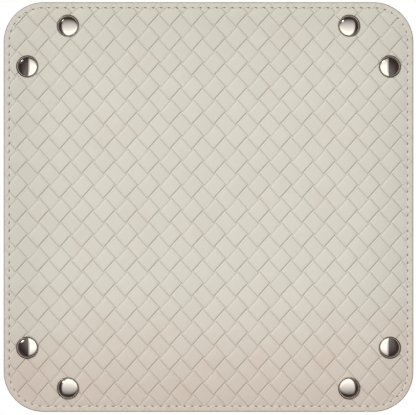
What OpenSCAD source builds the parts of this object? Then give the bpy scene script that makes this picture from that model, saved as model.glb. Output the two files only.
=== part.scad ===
// Folding dice tray: a rounded square of two bonded, stitched plies that snaps up into a tray.
// It lies flat on its eight snap caps. The mouth of the tray faces +Z.
// Each corner folds outwards into an ear: a socket flap and a stud flap, snapped face to face.

/* [Sheet] */
// Side of the flat square sheet
sheet_size = 230; // [150:1:400]
// Radius of the sheet's rounded corners
corner_radius = 22.5; // [10:0.5:35]
// Height of the walls, from the fold to the sheet's edge
wall_height = 40.5; // [30:0.5:60]
// Thickness of the outer leather ply
outer_ply = 1.2; // [0.8:0.1:2]
// Thickness of the lining leather ply
lining_ply = 1.2; // [0.8:0.1:2]
// Gap left between two panels at a fold
fold_gap = 0.3; // [0.2:0.05:0.6]
// Gap at the fold beside each stud flap, where the chain of hinges is open
open_fold_gap = 1.2; // [1:0.05:1.6]

/* [Base board] */
// Thickness of the stiffening board, let half into each ply
board_thickness = 0.8; // [0.4:0.1:1.2]
// Margin from the base's fold lines to the board
board_margin = 3; // [2:0.5:10]
// Clearance round the board in its pocket
board_clearance = 0.1; // [0.05:0.05:0.3]

/* [Snap cap] */
// Diameter of a snap's cap
cap_diameter = 12.5; // [10:0.5:15]
// Height of the cap over the outer leather
cap_height = 2.3; // [1.8:0.1:3]
// Radius of the rolled wire-like rim round the cap
rim_radius = 0.45; // [0.3:0.05:0.6]
// Width of the groove between the rim and the dome
groove_width = 0.3; // [0.2:0.05:0.6]
// Thickness of the cap's pressed shell
cap_shell = 0.5; // [0.3:0.05:0.8]
// Outer radius of the cap's tubular post
post_radius = 1.7; // [1.4:0.1:2.2]
// Wall of the cap's tubular post
post_wall = 0.4; // [0.3:0.05:0.6]
// Radial clearance of the post in its holes
post_clearance = 0.1; // [0.05:0.05:0.2]
// Distance from the cap's centre to the nearest edge of the sheet
cap_inset = 13.3; // [11:0.1:18]
// Distance from the cap's rim to the crease beside it
cap_to_crease = 1.4; // [1:0.1:4]

/* [Snap socket] */
// Diameter of a socket
socket_diameter = 11.5; // [10:0.5:12.5]
// Height of a socket over the lining
socket_height = 2.4; // [2.1:0.1:3]
// Thickness of the socket's pressed metal
socket_metal = 0.35; // [0.25:0.05:0.5]
// Radius of the hole that takes the stud
socket_bore = 2.95; // [2.6:0.05:3.6]
// Wire diameter of the socket's spring
spring_wire = 0.6; // [0.4:0.05:0.8]
// Depth of the flare that rivets the post into the socket's floor
flare_depth = 0.25; // [0.2:0.05:0.3]

/* [Snap stud] */
// Diameter of the stud's flange
stud_flange_diameter = 10.4; // [9:0.1:12]
// Thickness of the stud's flange
stud_flange = 0.6; // [0.4:0.1:0.8]
// Radius of the stud's bulge
stud_bulge = 2.4; // [2:0.05:2.5]
// Radius of the stud's neck, under the bulge
stud_neck = 2.1; // [2:0.05:2.3]
// Height of the stud over the lining
stud_height = 2.75; // [2.4:0.05:2.8]
// Clearance between the socket and the flange of the stud that closes on it
snap_clearance = 0.2; // [0.1:0.05:0.4]

/* [Stitching] */
// Distance from the sheet's edge to the line of stitches
stitch_inset = 3.1; // [2.5:0.1:5]
// Distance from one stitch to the next
stitch_pitch = 4.45; // [3:0.05:6]
// Part of the pitch that each stitch covers
stitch_cover = 0.78; // [0.6:0.02:0.9]
// Width of a stitch
stitch_width = 1; // [0.6:0.1:1.4]
// Height of a stitch over the leather
stitch_height = 0.4; // [0.2:0.05:0.5]
// Angle of each stitch to the line of stitches
stitch_slant = 12; // [0:1:20]

/* [Hidden] */
$fn = 64;
cut = 1;                                             // how far a cutting shape runs past what it cuts
sides = ["front", "right", "back", "left"];
corners = ["front_left", "front_right", "back_right", "back_left"];
half_gap = fold_gap / 2;
open_half_gap = open_fold_gap - half_gap;            // all of the wider gap is on the flap's side
sheet_thickness = outer_ply + lining_ply;
base_half = sheet_size / 2 - wall_height;            // centre to a fold line of the base
outer_z = cap_height;                                // outer face of the sheet, over the caps' tops
ply_z = outer_z + outer_ply;                         // where the two plies meet
lining_z = outer_z + sheet_thickness;                // inner face of the sheet

// Two snapped flaps lie this far apart, face to face.
snap_gap = socket_height + stud_flange + snap_clearance;
flap_bend = (snap_gap + sheet_thickness) / 2;        // bend radius at mid-thickness
// A crease lies this far past the base's corner, so that both flaps meet at the ear's middle.
crease_shift = sqrt(2) * flap_bend - sheet_thickness / 2 + sheet_thickness / 2 * (sqrt(2) - 1);
wall_half = base_half - crease_shift;                // centre of a wall to its creases
flap_length = wall_height + crease_shift;            // crease to the sheet's edge beside it

cap_along = flap_length - cap_to_crease - cap_diameter / 2; // cap's centre to the sheet's far edge
dome_radius_flat = cap_diameter / 2 - 2 * rim_radius - groove_width; // dome's radius, seen from above
dome_sphere = (pow(dome_radius_flat, 2) + pow(cap_height, 2)) / (2 * cap_height);
groove_floor = 0.8 * rim_radius;                     // thickness of the web under the groove
stud_post = stud_height - 2 * post_wall;             // height of the post inside the stud

stitch_line = corner_radius - stitch_inset;          // radius of the stitch line round a corner
flap_straight = flap_length - corner_radius;         // straight run of a flap's stitches
flap_run = flap_straight + stitch_line * PI / 4;     // the whole run, as far as the diagonal
wall_stitches = round(2 * wall_half / stitch_pitch);
flap_stitches = round(flap_run / stitch_pitch);
stitch_length = stitch_pitch * stitch_cover;

leather_colour = "#d5d1c5";
lining_colour = "#cdc8ba";
thread_colour = "#d8ccb4";
nickel_colour = "#c9c8c5";
board_colour = "#8d7a5e";

// ---------- the sheet ----------

module square_with_round_corners(size, radius) {
    inner = size - 2 * radius;
    square([inner, size], center = true);
    square([size, inner], center = true);
    for (x = [-1, 1], y = [-1, 1]) translate([x, y] * inner / 2) circle(radius);
}

// Outline of a base panel
module base_outline() {
    square(2 * (base_half - half_gap), center = true);
}

// Outline of the front wall, between its two creases
module wall_outline() {
    width = 2 * (wall_half - half_gap);
    translate([-width / 2, -sheet_size / 2]) square([width, wall_height - half_gap]);
}

// Distance from a flap's crease to the edge of its leather
function crease_gap(stud) = stud ? open_half_gap : half_gap;

// Outline of the socket flap at the front left, between the crease, the base and the diagonal.
// The stud flap is this outline too, turned over the diagonal.
module flap_outline(stud) {
    diagonal_shift = half_gap * sqrt(2);
    inside = crease_shift - crease_gap(stud);
    intersection() {
        translate([-base_half, -base_half]) polygon([
            [diagonal_shift - half_gap, -half_gap],
            [inside, -half_gap],
            [inside, -wall_height - cut],
            [diagonal_shift - wall_height - cut, -wall_height - cut]
        ]);
        square_with_round_corners(sheet_size, corner_radius);
    }
}

// An outline drawn for the socket flap, turned over the diagonal if it is for the stud flap
module on_flap(stud) {
    if (stud) mirror([1, -1]) children();
    else children();
}

// A shape drawn about the snap's centre, put in its place on the socket flap or the stud flap
module at_snap(stud) {
    along = cap_along - sheet_size / 2;
    inset = cap_inset - sheet_size / 2;
    translate(stud ? [inset, along] : [along, inset]) children();
}

// A ply of a flap, with the hole for the post of its cap
module flap_ply(z, thickness, stud) {
    difference() {
        translate([0, 0, z]) linear_extrude(thickness) on_flap(stud) flap_outline(stud);
        at_snap(stud) translate([0, 0, z - cut])
            cylinder(r = post_radius + post_clearance, h = thickness + 2 * cut);
    }
}

module base_pocket() {
    side = 2 * (base_half - board_margin + board_clearance);
    translate([0, 0, ply_z]) cube([side, side, board_thickness], center = true);
}

module base_outer_leather() {
    color(leather_colour) difference() {
        translate([0, 0, outer_z]) linear_extrude(outer_ply) base_outline();
        base_pocket();
    }
}

module base_lining_leather() {
    color(lining_colour) difference() {
        translate([0, 0, ply_z]) linear_extrude(lining_ply) base_outline();
        base_pocket();
    }
}

module base_board() {
    side = 2 * (base_half - board_margin);
    color(board_colour) translate([0, 0, ply_z]) cube([side, side, board_thickness], center = true);
}

module wall_outer_leather() {
    color(leather_colour) translate([0, 0, outer_z]) linear_extrude(outer_ply) wall_outline();
}

module wall_lining_leather() {
    color(lining_colour) translate([0, 0, ply_z]) linear_extrude(lining_ply) wall_outline();
}

module flap_outer_leather(stud) {
    color(leather_colour) flap_ply(outer_z, outer_ply, stud);
}

module flap_lining_leather(stud) {
    color(lining_colour) flap_ply(ply_z, lining_ply, stud);
}

// ---------- the stitching ----------

// One stitch seen from above: a bar with pointed ends
module stitch_outline() {
    long = stitch_length / 2;
    wide = stitch_width / 2;
    polygon([
        [-long, 0], [wide - long, -wide], [long - wide, -wide],
        [long, 0], [long - wide, wide], [wide - long, wide]
    ]);
}

// The same stitch on both faces of the sheet, at place [x, y, heading]
module stitch(place) {
    translate([place.x, place.y, outer_z - stitch_height]) rotate(place.z + stitch_slant)
        linear_extrude(stitch_height) stitch_outline();
    translate([place.x, place.y, lining_z]) rotate(place.z - stitch_slant)
        linear_extrude(stitch_height) stitch_outline();
}

module wall_stitching() {
    pitch = 2 * wall_half / wall_stitches;
    color(thread_colour) for (i = [0.5 : wall_stitches - 0.5])
        stitch([wall_half - i * pitch, stitch_inset - sheet_size / 2, 180]);
}

// Place of a socket flap's stitch at distance s from the crease
function flap_stitch(s) =
    let (centre = corner_radius - sheet_size / 2, turn = 270 - (s - flap_straight) / stitch_line * 180 / PI)
    s < flap_straight
        ? [flap_length - s - sheet_size / 2, stitch_inset - sheet_size / 2, 180]
        : [centre + stitch_line * cos(turn), centre + stitch_line * sin(turn), turn - 90];

module flap_stitching(stud) {
    start = crease_gap(stud);
    pitch = (flap_run - start) / flap_stitches;
    color(thread_colour) for (i = [0.5 : flap_stitches - 0.5]) {
        place = flap_stitch(start + i * pitch);
        stitch(stud ? [place.y, place.x, 90 - place.z] : place);
    }
}

// ---------- the snaps ----------

// Cap with its post, drawn about the snap's centre. The post ends at post_top.
module snap_cap_solid(post_top) {
    rim_ring = cap_diameter / 2 - rim_radius;
    difference() {
        union() {
            intersection() {
                translate([0, 0, dome_sphere]) sphere(dome_sphere);
                cylinder(r = dome_radius_flat, h = cap_height);
            }
            translate([0, 0, cap_height - rim_radius]) rotate_extrude() translate([rim_ring, 0]) circle(rim_radius);
            translate([0, 0, cap_height - groove_floor]) cylinder(r = rim_ring, h = groove_floor);
        }
        intersection() {
            translate([0, 0, dome_sphere]) sphere(dome_sphere - cap_shell);
            cylinder(r = dome_radius_flat - cap_shell, h = cap_height + cut);
        }
    }
    difference() {
        translate([0, 0, cap_shell / 2]) cylinder(r = post_radius, h = post_top - cap_shell / 2);
        translate([0, 0, cap_height]) cylinder(r = post_radius - post_wall, h = post_top);
    }
}

module socket_flap_cap() {
    flare_z = lining_z + socket_metal - flare_depth;
    color(nickel_colour) at_snap(false) {
        snap_cap_solid(flare_z);
        translate([0, 0, flare_z]) difference() {
            cylinder(r1 = post_radius, r2 = post_radius + flare_depth, h = flare_depth);
            translate([0, 0, -cut]) cylinder(r = post_radius - post_wall, h = flare_depth + 2 * cut);
        }
    }
}

module stud_flap_cap() {
    color(nickel_colour) at_snap(true)
        snap_cap_solid(lining_z + stud_post);
}

// Socket: a floor riveted to the lining, a rolled wall and a mouth plate over the spring
module snap_socket() {
    outer = socket_diameter / 2;
    post_hole = post_radius + post_clearance;
    plate_z = socket_height - 2 * socket_metal;     // top of the mouth plate, under the mouth's lip
    bevel = socket_metal;                           // the plate's edge is bevelled by its own thickness
    color(nickel_colour) at_snap(false) translate([0, 0, lining_z]) difference() {
        union() {
            cylinder(r = outer, h = plate_z - bevel);
            translate([0, 0, plate_z - bevel]) cylinder(r1 = outer, r2 = outer - bevel, h = bevel);
            cylinder(r = socket_bore + socket_metal, h = socket_height);
        }
        translate([0, 0, socket_metal])
            cylinder(r = outer - socket_metal, h = plate_z - 2 * socket_metal);
        translate([0, 0, socket_metal]) cylinder(r = socket_bore, h = socket_height);
        translate([0, 0, -cut]) cylinder(r = post_hole, h = socket_height);
        translate([0, 0, socket_metal - flare_depth])
            cylinder(r1 = post_hole, r2 = post_hole + flare_depth, h = flare_depth);
    }
}

// Spring: a hairpin of wire whose two legs lie either side of the stud
module spring_outline() {
    wire = spring_wire / 2;
    leg = socket_bore + wire - socket_metal;
    ring = socket_diameter / 2 - socket_metal - spring_wire;
    reach = sqrt(pow(ring, 2) - pow(leg, 2));
    for (x = [-1, 1]) translate([x * leg - wire, -reach]) square([spring_wire, 2 * reach]);
    difference() {
        circle(ring + wire);
        circle(ring - wire);
        translate([-ring - cut, -ring - cut]) square([2 * (ring + cut), ring + cut + reach]);
    }
}

module snap_spring() {
    rest_z = lining_z + (socket_height - 2 * socket_metal - spring_wire) / 2;   // half way up the hollow
    color(nickel_colour) at_snap(false) translate([0, 0, rest_z])
        linear_extrude(spring_wire) spring_outline();
}

// Stud: a flange on the lining and a hollow knob, set on the post of its cap
module snap_stud() {
    bulge_z = stud_height - stud_bulge / 2;
    color(nickel_colour) at_snap(true) translate([0, 0, lining_z]) difference() {
        union() {
            cylinder(d = stud_flange_diameter, h = stud_flange);
            cylinder(r = stud_neck, h = bulge_z);
            intersection() {
                translate([0, 0, bulge_z]) sphere(stud_bulge);
                translate([0, 0, stud_flange]) cylinder(r = stud_bulge, h = stud_height - stud_flange);
            }
        }
        translate([0, 0, -cut])
            cylinder(r = post_radius + post_clearance, h = stud_post + post_clearance + cut);
        translate([0, 0, -cut]) cylinder(r = post_radius - post_wall, h = stud_height + 2 * cut);
    }
}

// ---------- the nodes ----------

base_outer_leather();
base_lining_leather();
base_board();

for (i = [0 : 3]) rotate(90 * i) {
    wall = str("wall_", sides[i], "_");
    wall_outer_leather();
    wall_lining_leather();
    wall_stitching();

    for (stud = [false, true]) {
        flap = str(stud ? "stud_flap_" : "socket_flap_", corners[i], "_");
        flap_outer_leather(stud);
        flap_lining_leather(stud);
        flap_stitching(stud);
    }
    socket_flap_cap();
    stud_flap_cap();
    snap_socket();
    snap_spring();
    snap_stud();
}
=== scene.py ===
import math

import bmesh
import bpy
import numpy as np
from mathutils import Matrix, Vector


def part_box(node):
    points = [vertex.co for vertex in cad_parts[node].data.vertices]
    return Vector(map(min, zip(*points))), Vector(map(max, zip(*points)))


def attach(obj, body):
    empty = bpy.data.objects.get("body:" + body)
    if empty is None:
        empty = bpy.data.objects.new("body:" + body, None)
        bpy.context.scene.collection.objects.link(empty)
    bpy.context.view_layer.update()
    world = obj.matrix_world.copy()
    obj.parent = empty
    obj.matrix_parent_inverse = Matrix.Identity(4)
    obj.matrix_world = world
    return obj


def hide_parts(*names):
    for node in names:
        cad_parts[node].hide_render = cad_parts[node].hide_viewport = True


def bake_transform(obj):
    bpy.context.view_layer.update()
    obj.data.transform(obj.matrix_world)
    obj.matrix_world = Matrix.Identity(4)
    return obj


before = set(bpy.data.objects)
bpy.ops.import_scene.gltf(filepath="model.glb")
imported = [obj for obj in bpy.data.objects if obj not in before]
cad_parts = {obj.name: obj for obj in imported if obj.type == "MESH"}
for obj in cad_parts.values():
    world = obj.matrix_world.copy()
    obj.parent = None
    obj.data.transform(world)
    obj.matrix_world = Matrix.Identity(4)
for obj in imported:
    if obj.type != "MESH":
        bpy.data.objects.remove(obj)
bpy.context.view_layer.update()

# Lengths are in metres. The tray lies flat, mouth up, with its outer face down.
sheet = {
    "half": 0.115,             # centre to edge
    "cornerRadius": 0.0225,
    "outerFace": 0.0023,
    "plyLine": 0.0035,         # where the two plies meet
    "innerFace": 0.0047,
    "foldLine": 0.0745,        # centre to a wall's fold
    "creaseLine": 0.071243,    # centre to the crease of a flap
    "foldBend": 0.0025,        # half the width of leather that bends at a wall's fold
    "creaseBend": 0.003,       # the same at a crease
    "earBend": 0.0044,         # the same over an ear's diagonal
    "earSlack": 0.0002,        # from there to the cut between an ear's two flaps
    "bendStep": 0.0008,        # spacing of the cuts that let the leather bend
    "arcSteps": 16,
}
sides = ["front", "right", "back", "left"]
corners = ["front_left", "front_right", "back_right", "back_left"]
rootTwo = math.sqrt(2)


def activate(piece):
    for other in list(bpy.context.selected_objects):
        other.select_set(False)
    piece.select_set(True)
    bpy.context.view_layer.objects.active = piece


def newPiece(name):
    piece = bpy.context.active_object
    piece.name = name
    piece.data.name = name
    activate(piece)
    return piece


def copyPiece(source, name):
    piece = source.copy()
    piece.data = source.data.copy()
    piece.name = name
    piece.data.name = name
    bpy.context.scene.collection.objects.link(piece)
    return piece


def joinPieces(parts, name):
    activate(parts[0])
    for part in parts[1:]:
        part.select_set(True)
    if len(parts) > 1:
        bpy.ops.object.join()
    return newPiece(name)


def applyPlace(piece):
    activate(piece)
    bpy.ops.object.transform_apply(location=True, rotation=True, scale=True)


def turnPiece(piece, quarterTurns):
    piece.rotation_euler = (0, 0, quarterTurns * math.pi / 2)
    applyPlace(piece)


def edit(piece, mode="FACE"):
    activate(piece)
    bpy.ops.object.mode_set(mode="EDIT")
    bpy.ops.mesh.select_mode(type=mode)


def done():
    bpy.ops.object.mode_set(mode="OBJECT")


def pick(test, kind="verts"):
    # selects what passes the test, in edit mode
    bpy.ops.mesh.select_mode(type={"verts": "VERT", "edges": "EDGE", "faces": "FACE"}[kind])
    bpy.ops.mesh.select_all(action="DESELECT")
    data = bpy.context.active_object.data
    mesh = bmesh.from_edit_mesh(data)
    for item in getattr(mesh, kind):
        if test(item):
            item.select_set(True)
    mesh.select_flush_mode()
    bmesh.update_edit_mesh(data)


def cutAcross(normal, reach, clear=False, fill=False):
    # cuts all of the mesh in edit mode, and clear drops what lies past the plane
    bpy.ops.mesh.select_all(action="SELECT")
    place = (normal[0] * reach, normal[1] * reach, 0)
    bpy.ops.mesh.bisect(plane_co=place, plane_no=(normal[0], normal[1], 0), use_fill=fill,
                        clear_outer=clear, threshold=1e-7)


def turned(plane, quarterTurns):
    x, y, reach = plane
    for _ in range(quarterTurns % 4):
        x, y = -y, x
    return x, y, reach


def repeat(piece, step, count):
    activate(piece)
    bpy.ops.object.modifier_add(type="ARRAY")
    array = piece.modifiers[-1]
    array.use_relative_offset = False
    array.use_constant_offset = True
    array.constant_offset_displace = step
    array.count = count
    array.use_merge_vertices = True
    array.merge_threshold = 1e-4
    bpy.ops.object.modifier_apply(modifier=array.name)


def smooth(piece, degrees, byArea=False):
    activate(piece)
    bpy.ops.object.shade_smooth_by_angle(angle=math.radians(degrees))
    if byArea:
        bpy.ops.object.modifier_add(type="WEIGHTED_NORMAL")
        piece.modifiers[-1].keep_sharp = True
        bpy.ops.object.modifier_apply(modifier=piece.modifiers[-1].name)


weave = {
    "halfRight": 0.00618,      # half of a cell's diagonal, across the sheet
    "halfUp": 0.00689,         # and up the sheet
    "relief": 0.00028,         # height of a strip's crest over the line beside it
    "proud": 0.00012,          # how far the crests stand over the CAD face
    "phase": (0.0035, -0.0020),
    "strip": 0.44,             # half a strip's width, as a share of the pitch
    "cuts": (0.20, 0.36, 0.42, 0.44, 0.46),     # where each crossing is cut, out from its middle
    # rows of points, as (distance from a strip's middle, height as a share of the relief)
    "acrossRows": ((0.42, 0.78), (0.36, 0.95), (0.20, 1.0)),
    "softRows": ((0.42, 0.55), (0.36, 0.84)),   # the rising strips' upper edge, on top of acrossRows
    "alongRows": ((0.54, 0.14), (0.50, 0.34), (0.46, 0.52), (0.42, 0.66), (0.36, 0.82), (0.20, 0.97)),
    # (on a rising strip, its edge or end, distance from its middle, darkness of the painted shade in the
    # line)
    "lines": ((True, "edge", -0.44, 1.0), (True, "edge", 0.44, 0.3), (True, "end", 0.54, 0.42),
              (True, "end", -0.54, 0.42), (False, "edge", 0.44, 0.6), (False, "edge", -0.44, 0.6),
              (False, "end", 0.54, 0.7), (False, "end", -0.54, 0.22)),
    "tiles": 18,
}


def stripPlace(vertex, centres, alongFirst):
    # where a vertex lies on the strip that is on top there: along it, across it, and across with its sign
    end = 1 - weave["strip"]
    for first, second in centres:
        one = (vertex.co.x - first + 1) % 2 - 1
        two = (vertex.co.y - second + 1) % 2 - 1
        along, across = (one, two) if alongFirst else (two, one)
        if abs(along) < end - 0.001 and abs(across) < weave["strip"] - 0.001:
            return abs(along), abs(across), across
    return None


def shapeStrips(centres, alongFirst):
    pick(lambda v: stripPlace(v, centres, alongFirst) is not None)
    bpy.ops.transform.translate(value=(0, 0, weave["relief"]))
    rowSets = [(1, weave["acrossRows"]), (0, weave["alongRows"])]
    if alongFirst:
        rowSets.append((2, weave["softRows"]))
    for which, rows in rowSets:
        for row, share in rows:
            def onRow(v):
                place = stripPlace(v, centres, alongFirst)
                return place is not None and abs(place[which] - row) < 0.001
            pick(onRow)
            bpy.ops.transform.resize(value=(1, 1, share), center_override=(0, 0, 0))


def weaveField():
    bpy.ops.mesh.primitive_plane_add(size=1, location=(0, 0, 0))
    field = newPiece("weaveField")
    edit(field)
    for row in weave["cuts"]:
        for normal in ((1, 0), (-1, 0), (0, 1), (0, -1)):
            cutAcross(normal, row)
    done()
    repeat(field, (1, 0, 0), 2)
    repeat(field, (0, 1, 0), 2)
    edit(field)
    shapeStrips(((0, 0), (1, 1)), True)
    shapeStrips(((1, 0), (0, 1)), False)
    done()
    repeat(field, (2, 0, 0), weave["tiles"])
    repeat(field, (0, 2, 0), weave["tiles"])
    start = 2 * (weave["tiles"] // 2)
    field.location = (-start, -start, 0)
    applyPlace(field)
    field.rotation_euler = (0, 0, math.pi / 4)
    applyPlace(field)
    field.scale = (weave["halfRight"] * rootTwo, weave["halfUp"] * rootTwo, 1)
    field.location = (*weave["phase"], 0)
    applyPlace(field)
    edit(field)
    for normal in ((1, 0), (-1, 0), (0, 1), (0, -1)):
        cutAcross(normal, sheet["half"], clear=True)
    done()
    return field


def latticePlace(points):
    # counts strips along the rising and the falling direction
    right = (points[:, 0] - weave["phase"][0]) / (2 * weave["halfRight"])
    up = (points[:, 1] - weave["phase"][1]) / (2 * weave["halfUp"])
    return right + up, up - right


def markStrands(field):
    # which strip is on top, a tone of its own for each crossing, and the painted shade in the lines between
    # strips
    count = len(field.data.polygons)
    centre = np.zeros(count * 3)
    field.data.polygons.foreach_get("center", centre)
    centre = centre.reshape(-1, 3)
    one, two = latticePlace(centre)
    strand = np.zeros(count)
    tone = np.zeros(count)
    for alongFirst in (True, False):
        along, across = (one, two) if alongFirst else (two, one)
        for first in (0, 1):
            second = first if alongFirst else 1 - first
            a = 2 * np.round((one - first) / 2) + first
            b = 2 * np.round((two - second) / 2) + second
            da, db = (one - a, two - b) if alongFirst else (two - b, one - a)
            inside = (np.abs(da) < 1 - weave["strip"]) & (np.abs(db) < weave["strip"])
            strand[inside] = 1.0 if alongFirst else 0.0
            value = np.sin(a * 12.9898 + b * 78.233) * 43758.5453     # a repeatable random number
            tone[inside] = (value - np.floor(value))[inside]
    for name, values in (("strand", strand), ("cellTone", tone)):
        layer = field.data.attributes.new(name, "FLOAT", "FACE")
        layer.data.foreach_set("value", values.astype(np.float32))
    co = np.zeros(len(field.data.vertices) * 3)
    field.data.vertices.foreach_get("co", co)
    co = co.reshape(-1, 3)
    one, two = latticePlace(co)
    line = np.zeros(len(co))
    toEnd = 1.001 - weave["strip"]
    toSide = weave["strip"] + 0.001
    for alongFirst, kind, row, weight in weave["lines"]:
        for first in (0, 1):
            second = first if alongFirst else 1 - first
            along = (one - first + 1) % 2 - 1
            across = (two - second + 1) % 2 - 1
            if not alongFirst:
                along, across = across, along
            place, other, limit = (across, along, toEnd) if kind == "edge" else (along, across, toSide)
            near = (np.abs(place - row) < 0.003) & (np.abs(other) < limit)
            line[near] = np.maximum(line[near], weight)
    # line: painted shade in the lines between strips
    layer = field.data.attributes.new("line", "FLOAT", "POINT")
    layer.data.foreach_set("value", line.astype(np.float32))


print("weave: shaping one repeat and laying it out")
innerField = weaveField()
markStrands(innerField)
outerField = copyPiece(innerField, "outerField")
outerField.rotation_euler = (0, math.pi, 0)
applyPlace(outerField)
outerField.location = (0, 0, sheet["outerFace"] + weave["relief"] - weave["proud"])
applyPlace(outerField)
innerField.location = (0, 0, sheet["innerFace"] - weave["relief"] + weave["proud"])
applyPlace(innerField)
print("weave:", len(innerField.data.polygons), "faces a side")


margin = {
    "inset": 0.0034,           # from the sheet's edge to where the weave ends
    "shoulder": 0.0027,        # from the edge to where the stitch channel begins
    "channel": 0.0002,         # depth of the stitch channel
    "edgeRound": 0.0006,       # radius of the painted edge
    "pocketInset": 0.0042,     # from the base piece's edge to the board
    "pocketDepth": 0.0004,
}


def outline(inset, quarterTurns):
    # half planes that bound the corner of the sheet between its left and front edges, turned
    reach = sheet["half"] - inset
    radius = sheet["cornerRadius"] - inset
    middle = sheet["half"] - sheet["cornerRadius"]
    planes = [(-1, 0, reach), (0, -1, reach)]
    for step in range(1, sheet["arcSteps"]):
        angle = math.pi + step * math.pi / 2 / sheet["arcSteps"]
        x, y = math.cos(angle), math.sin(angle)
        planes.append((x, y, -middle * (x + y) + radius))
    return [turned(p, quarterTurns) for p in planes]


def cutOut(source, name, planes):
    piece = copyPiece(source, name)
    edit(piece)
    for x, y, reach in planes:
        cutAcross((x, y), reach, clear=True)
    done()
    return piece


def closeSlab(piece, edgePlanes, channelZ):
    # sinks the weave into the stitch channel at the sheet's edge, and closes the ply's other faces
    edit(piece)
    if edgePlanes:
        pick(lambda v: any(abs(v.co.x * x + v.co.y * y - reach) < 2e-6 for x, y, reach in edgePlanes))
        bpy.ops.transform.resize(value=(1, 1, 0), center_override=(0, 0, channelZ))
    pick(lambda e: e.is_boundary, "edges")
    rise = sheet["plyLine"] - channelZ
    bpy.ops.mesh.extrude_edges_move(TRANSFORM_OT_translate={"value": (0, 0, rise)})
    bpy.ops.transform.resize(value=(1, 1, 0), center_override=(0, 0, sheet["plyLine"]))
    bpy.ops.mesh.edge_face_add()
    bpy.ops.mesh.select_all(action="SELECT")
    bpy.ops.mesh.normals_make_consistent(inside=False)
    done()


def cutPocket(piece, towards):
    # the stiffening board lies half in each ply of the base
    edit(piece)
    pick(lambda f: len(f.verts) > 60, "faces")
    bpy.ops.mesh.extrude_region_move(TRANSFORM_OT_translate={"value": (0, 0, 0)})
    side = sheet["creaseLine"]
    share = (side - margin["pocketInset"]) / side
    bpy.ops.transform.resize(value=(share, share, 1), center_override=(0, 0, sheet["plyLine"]))
    bpy.ops.mesh.extrude_region_move(
        TRANSFORM_OT_translate={"value": (0, 0, towards * margin["pocketDepth"])})
    done()


def bendCuts(piece, normal, middle, halfWidth):
    edit(piece)
    steps = round(2 * halfWidth / sheet["bendStep"])
    for step in range(steps + 1):
        cutAcross(normal, middle - halfWidth + 2 * halfWidth * step / steps)
    done()


def marginBand(name, start, end, roundCorner):
    # the smooth band outside the stitches, drawn along the front edge of the outer ply
    middle = sheet["half"] - sheet["cornerRadius"]
    last = -middle if roundCorner else start
    size = (end - last, margin["inset"], sheet["plyLine"] - sheet["outerFace"])
    place = ((end + last) / 2, margin["inset"] / 2 - sheet["half"],
             (sheet["plyLine"] + sheet["outerFace"]) / 2)
    bpy.ops.mesh.primitive_cube_add(size=1, location=place)
    band = newPiece(name)
    band.scale = size
    applyPlace(band)
    low = sheet["outerFace"] + 1e-5
    edit(band)
    pick(lambda e: all(v.co.z < low and v.co.y < 1e-5 - sheet["half"] for v in e.verts), "edges")
    bpy.ops.mesh.bevel(offset=margin["edgeRound"], segments=4)
    for inset in (margin["shoulder"], (margin["shoulder"] + margin["inset"]) / 2):
        cutAcross((0, -1), sheet["half"] - inset)
    pick(lambda v: v.co.z < low and v.co.y > 1e-5 + margin["shoulder"] - sheet["half"])
    bpy.ops.transform.translate(value=(0, 0, margin["channel"]))
    pick(lambda f: abs(f.normal.x) > 0.99, "faces")
    bpy.ops.mesh.delete(type="ONLY_FACE")
    if roundCorner:
        pick(lambda e: all(v.co.x < 1e-6 + last for v in e.verts), "edges")
        bpy.ops.mesh.spin(steps=2 * sheet["arcSteps"], angle=math.pi / 2, center=(-middle, -middle, 0),
                          axis=(0, 0, 1))
        bpy.ops.mesh.extrude_edges_move(
            TRANSFORM_OT_translate={"value": (0, middle - sheet["creaseLine"], 0)})
    pick(lambda e: e.is_boundary, "edges")
    bpy.ops.mesh.fill_holes(sides=0)
    bpy.ops.mesh.select_all(action="SELECT")
    bpy.ops.mesh.remove_doubles(threshold=1e-7)
    bpy.ops.mesh.normals_make_consistent(inside=False)
    rim = outline(0, 0)
    band.data.materials.append(materials["outerMargin"])
    band.data.materials.append(materials["edgePaintAndShade"])
    band.active_material_index = 1
    pick(lambda f: max(f.calc_center_median().x * x + f.calc_center_median().y * y - reach
                       for x, y, reach in rim) > -margin["edgeRound"] * 0.9, "faces")
    bpy.ops.object.material_slot_assign()
    done()
    return band


def toInnerPly(band, name):
    # the same band on the lining, face up
    piece = copyPiece(band, name)
    piece.location = (0, 0, 2 * sheet["plyLine"])
    piece.scale = (1, 1, -1)
    applyPlace(piece)
    edit(piece)
    bpy.ops.mesh.select_all(action="SELECT")
    bpy.ops.mesh.normals_make_consistent(inside=False)
    done()
    return piece


def drawPlace(piece):
    # the piece's own map: where each point lies on the flat sheet, in metres
    if piece.data.uv_layers:
        layer = piece.data.uv_layers[0]
    else:
        layer = piece.data.uv_layers.new()
    layer.name = "flatSheet"
    co = np.zeros(len(piece.data.vertices) * 3)
    piece.data.vertices.foreach_get("co", co)
    index = np.zeros(len(piece.data.loops), np.int32)
    piece.data.loops.foreach_get("vertex_index", index)
    layer.data.foreach_set("uv", co.reshape(-1, 3)[index, :2].astype(np.float32).ravel())


foldEnd = sheet["foldLine"] + sheet["foldBend"]
creaseStart = sheet["creaseLine"] - sheet["creaseBend"]
earSeam = sheet["earBend"] + sheet["earSlack"]
edgeLine = sheet["half"] - margin["inset"]

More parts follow.
